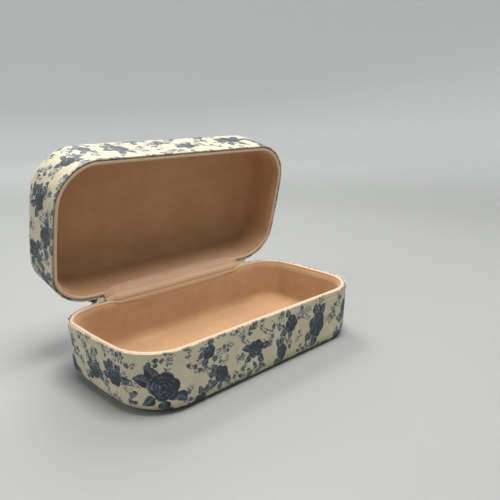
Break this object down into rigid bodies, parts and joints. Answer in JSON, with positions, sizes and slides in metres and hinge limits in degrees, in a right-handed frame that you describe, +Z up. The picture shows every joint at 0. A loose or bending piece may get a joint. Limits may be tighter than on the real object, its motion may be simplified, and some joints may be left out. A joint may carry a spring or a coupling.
{
  "type": "eyeglasses case",
  "caption": "Hard clamshell eyeglasses case, standing open, with a printed leatherette cover, pressed steel shells, a velour lining and a sprung pin hinge.",
  "frame": {"origin": "centre of the base's flat underside", "axes": "+Z up from the underside, +X along the case's length and the hinge, +Y from the front wall towards the hinge"},
  "size_m": [0.1638, 0.1131, 0.1173],
  "materials": {
    "cover": "matte printed leatherette",
    "spine": "matte printed leatherette",
    "lining": "short velour",
    "shell": "pressed sheet steel",
    "hinge": "satin zinc plated",
    "spring": "satin spring steel",
    "rivet": "satin"
  },
  "bodies": {
    "base": {"base_cover": "cover", "base_shell": "shell", "base_lining": "lining", "base_hinge_leaf": "hinge", "base_rivet_1": "rivet", "base_rivet_2": "rivet", "base_rivet_3": "rivet", "base_rivet_4": "rivet", "hinge_pin": "hinge", "hinge_spring_left": "spring", "hinge_spring_right": "spring", "spine_strip": "spine", "lining_bridge": "lining"},
    "lid": {"lid_cover": "cover", "lid_shell": "shell", "lid_lining": "lining", "lid_hinge_leaf": "hinge", "lid_rivet_1": "rivet", "lid_rivet_2": "rivet", "lid_rivet_3": "rivet", "lid_rivet_4": "rivet"}
  },
  "joints": [
    {"name": "lid_hinge", "type": "hinge", "parent": "base", "child": "lid", "pos_m": [0, 0.0417, 0.03195], "axis": [-1, 0, 0], "range_deg": [-77, 0], "deforming": ["spine_strip", "lining_bridge", "hinge_spring_left", "hinge_spring_right"]}
  ]
}
